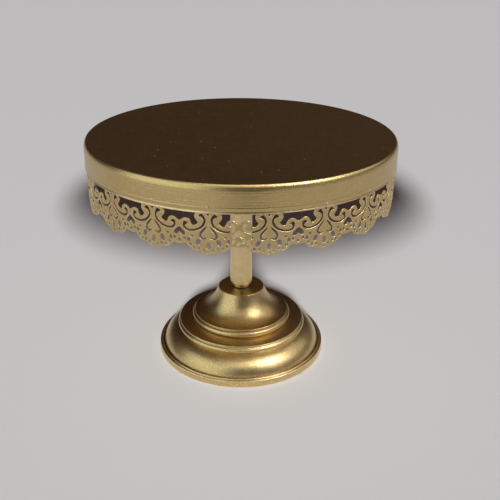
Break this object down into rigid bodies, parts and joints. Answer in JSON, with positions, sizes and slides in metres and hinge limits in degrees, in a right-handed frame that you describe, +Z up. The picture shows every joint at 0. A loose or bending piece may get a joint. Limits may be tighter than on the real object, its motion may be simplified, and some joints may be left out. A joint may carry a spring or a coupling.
{
  "type": "cake stand",
  "caption": "Round pedestal cake stand with a turned-down rim, a pierced scalloped lace skirt, a screw-in tube stem and a stepped spun base.",
  "frame": {"origin": "on the table, under the centre of the base", "axes": "+Z up along the stem, -Y towards the front"},
  "size_m": [0.25, 0.25, 0.197],
  "materials": {
    "gold_plate": "satin metallic gold paint",
    "gold_lace": "satin metallic gold paint",
    "gold_stem": "satin metallic gold paint",
    "gold_base": "satin metallic gold paint",
    "zinc_steel": "bright zinc plate",
    "washer_rubber": "matte",
    "pad_rubber": "matte"
  },
  "bodies": {
    "base": {"base_shell": "gold_base", "base_stiffener": "gold_base", "base_nut": "zinc_steel", "base_pads": "pad_rubber"},
    "lower_washer": {"lower_washer": "washer_rubber"},
    "stem": {"stem_tube": "gold_stem", "lower_plug": "gold_stem", "lower_stud": "zinc_steel", "upper_plug": "gold_stem", "upper_stud": "zinc_steel"},
    "upper_washer": {"upper_washer": "washer_rubber"},
    "plate": {"top_plate": "gold_plate", "lace_skirt": "gold_lace", "plate_flange": "gold_plate", "plate_socket": "gold_plate"}
  },
  "joints": [
    {"name": "stem_rise", "type": "slide", "parent": "base", "child": "lower_washer", "axis": [0, 0, 1], "range_m": [0, 0.0075]},
    {"name": "stem_turn", "type": "hinge", "parent": "lower_washer", "child": "stem", "pos_m": [0, 0, 0.0592], "axis": [0, 0, 1], "range_deg": [0, 1800]},
    {"name": "plate_rise", "type": "slide", "parent": "stem", "child": "upper_washer", "axis": [0, 0, 1], "range_m": [0, 0.0075]},
    {"name": "plate_turn", "type": "hinge", "parent": "upper_washer", "child": "plate", "pos_m": [0, 0, 0.185], "axis": [0, 0, 1], "range_deg": [0, 1800]}
  ],
  "couplings": [
    {"joint": "stem_turn", "follows": "stem_rise", "rad_per_m": 4188.8},
    {"joint": "plate_turn", "follows": "plate_rise", "rad_per_m": 4188.8}
  ]
}
